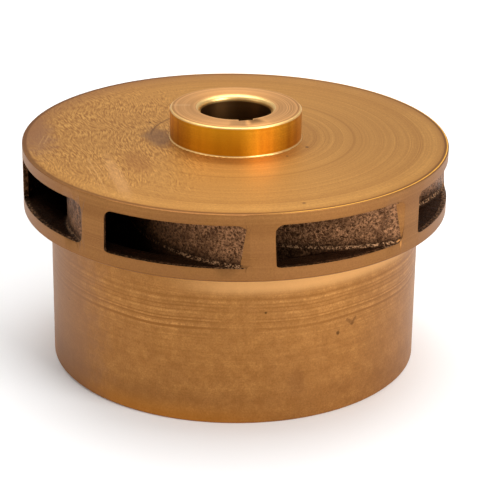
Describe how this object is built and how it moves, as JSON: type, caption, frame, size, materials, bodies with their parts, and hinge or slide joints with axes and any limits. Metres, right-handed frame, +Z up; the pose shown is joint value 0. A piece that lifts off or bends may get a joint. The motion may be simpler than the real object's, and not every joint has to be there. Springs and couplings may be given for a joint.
{
  "type": "pump impeller",
  "caption": "Closed pump impeller cast in bronze, with backward-curved vanes between two shrouds, a long suction neck and a keyed hub.",
  "frame": {"origin": "centre of the suction neck's end face, on the shaft axis", "axes": "+Z up the shaft axis from the suction neck to the hub; the keyway faces -Y"},
  "size_m": [0.1334, 0.1334, 0.0807],
  "materials": {
    "bronze": "turned bronze outside with fine lathe marks, rough sand-cast bronze in the waterway"
  },
  "bodies": {
    "root": {"impeller": "bronze"}
  },
  "joints": []
}
